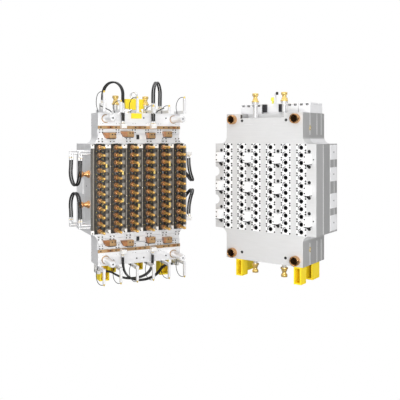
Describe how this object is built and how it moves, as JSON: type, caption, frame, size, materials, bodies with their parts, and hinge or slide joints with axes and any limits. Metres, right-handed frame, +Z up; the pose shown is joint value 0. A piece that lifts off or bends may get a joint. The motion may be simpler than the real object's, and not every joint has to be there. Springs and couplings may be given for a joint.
{
  "type": "preform injection mould",
  "caption": "Open injection mould for bottle preforms: a core half with rods, split neck rings, stripper plate and hoses, and a cavity half with bored inserts and guide bushes.",
  "frame": {"origin": "on the floor, under the middle of both halves without the hoses", "axes": "+X to the right across both halves as seen from the front, +Y away from the viewer, +Z up"},
  "size_m": [2.1804, 0.9204, 1.6195],
  "materials": {
    "mould_steel": "ground tool steel",
    "cavity_steel": "bright ground tool steel",
    "polished_core": "polished, with a warm golden coating",
    "neck_copper": "satin copper coloured bronze",
    "bronze": "satin bronze",
    "slide_steel": "dark nitrided steel",
    "insert_steel": "satin steel",
    "strip_aluminium": "satin",
    "coupling_steel": "bright plated",
    "coupling_brass": "bright brass",
    "yellow_paint": "gloss yellow paint",
    "hose_rubber": "gloss black",
    "box_grey": "satin light grey paint",
    "plug_black": "matte black"
  },
  "bodies": {
    "fixed_parts": {"core_pins": "polished_core", "core_plate": "mould_steel", "guide_pins": "coupling_steel", "core_backing_plate": "mould_steel", "core_clamp_plate": "mould_steel", "core_feet": "yellow_paint", "lifting_bridge": "yellow_paint", "lifting_eye": "coupling_steel", "core_pipes": "coupling_steel", "core_couplings": "coupling_brass", "core_side_cover": "box_grey", "ports_on_plates": "coupling_steel", "cavity_plate": "cavity_steel", "cavity_inserts": "insert_steel", "lock_blocks": "cavity_steel", "guide_bushes": "bronze", "manifold_plate": "mould_steel", "cavity_backing_plate": "mould_steel", "cavity_clamp_plate": "mould_steel", "locating_ring": "mould_steel", "sprue_bush": "mould_steel", "cavity_feet": "yellow_paint", "cavity_pipes": "coupling_steel", "cavity_couplings": "coupling_brass", "heater_boxes": "box_grey", "heater_panel": "box_grey", "heater_plugs": "plug_black", "side_covers": "box_grey", "hose_top_left_1": "hose_rubber", "hose_top_left_2": "hose_rubber", "hose_top_right_1": "hose_rubber", "hose_top_right_2": "hose_rubber", "hose_bottom_left_1": "hose_rubber", "hose_bottom_left_2": "hose_rubber", "hose_bottom_right_1": "hose_rubber", "hose_bottom_right_2": "hose_rubber", "hose_side_left_upper_1": "hose_rubber", "hose_side_left_upper_2": "hose_rubber", "hose_side_left_lower_1": "hose_rubber", "hose_side_left_lower_2": "hose_rubber", "hose_side_right_upper_1": "hose_rubber", "hose_side_right_upper_2": "hose_rubber", "hose_side_right_lower_1": "hose_rubber", "hose_side_right_lower_2": "hose_rubber"},
    "stripper": {"stripper_plate": "mould_steel", "cover_strips": "strip_aluminium", "wear_strips": "bronze", "pin_bushes": "bronze", "side_couplings": "coupling_brass", "finger_arms": "mould_steel", "finger_tips": "coupling_steel", "finger_tubes": "coupling_steel", "ports_on_stripper": "coupling_steel"},
    "left_slides": {"slides_left": "slide_steel", "neck_rings_left": "neck_copper", "cam_blocks_left": "bronze"},
    "right_slides": {"slides_right": "slide_steel", "neck_rings_right": "neck_copper", "cam_blocks_right": "bronze"}
  },
  "joints": [
    {"name": "stripper_stroke", "type": "slide", "parent": "fixed_parts", "child": "stripper", "axis": [0.4258, -0.9048, 0], "range_m": [0, 0.08], "deforming": ["hose_top_left_1", "hose_top_left_2", "hose_top_right_1", "hose_top_right_2", "hose_bottom_left_1", "hose_bottom_left_2", "hose_bottom_right_1", "hose_bottom_right_2", "hose_side_left_upper_1", "hose_side_left_upper_2", "hose_side_left_lower_1", "hose_side_left_lower_2", "hose_side_right_upper_1", "hose_side_right_upper_2", "hose_side_right_lower_1", "hose_side_right_lower_2"]},
    {"name": "left_slides_open", "type": "slide", "parent": "stripper", "child": "left_slides", "axis": [-0.9048, -0.4258, 0], "range_m": [0, 0.012]},
    {"name": "right_slides_open", "type": "slide", "parent": "stripper", "child": "right_slides", "axis": [0.9048, 0.4258, 0], "range_m": [0, 0.012]}
  ],
  "couplings": [
    {"joint": "left_slides_open", "follows": "stripper_stroke", "ratio": 0.15},
    {"joint": "right_slides_open", "follows": "stripper_stroke", "ratio": 0.15}
  ]
}
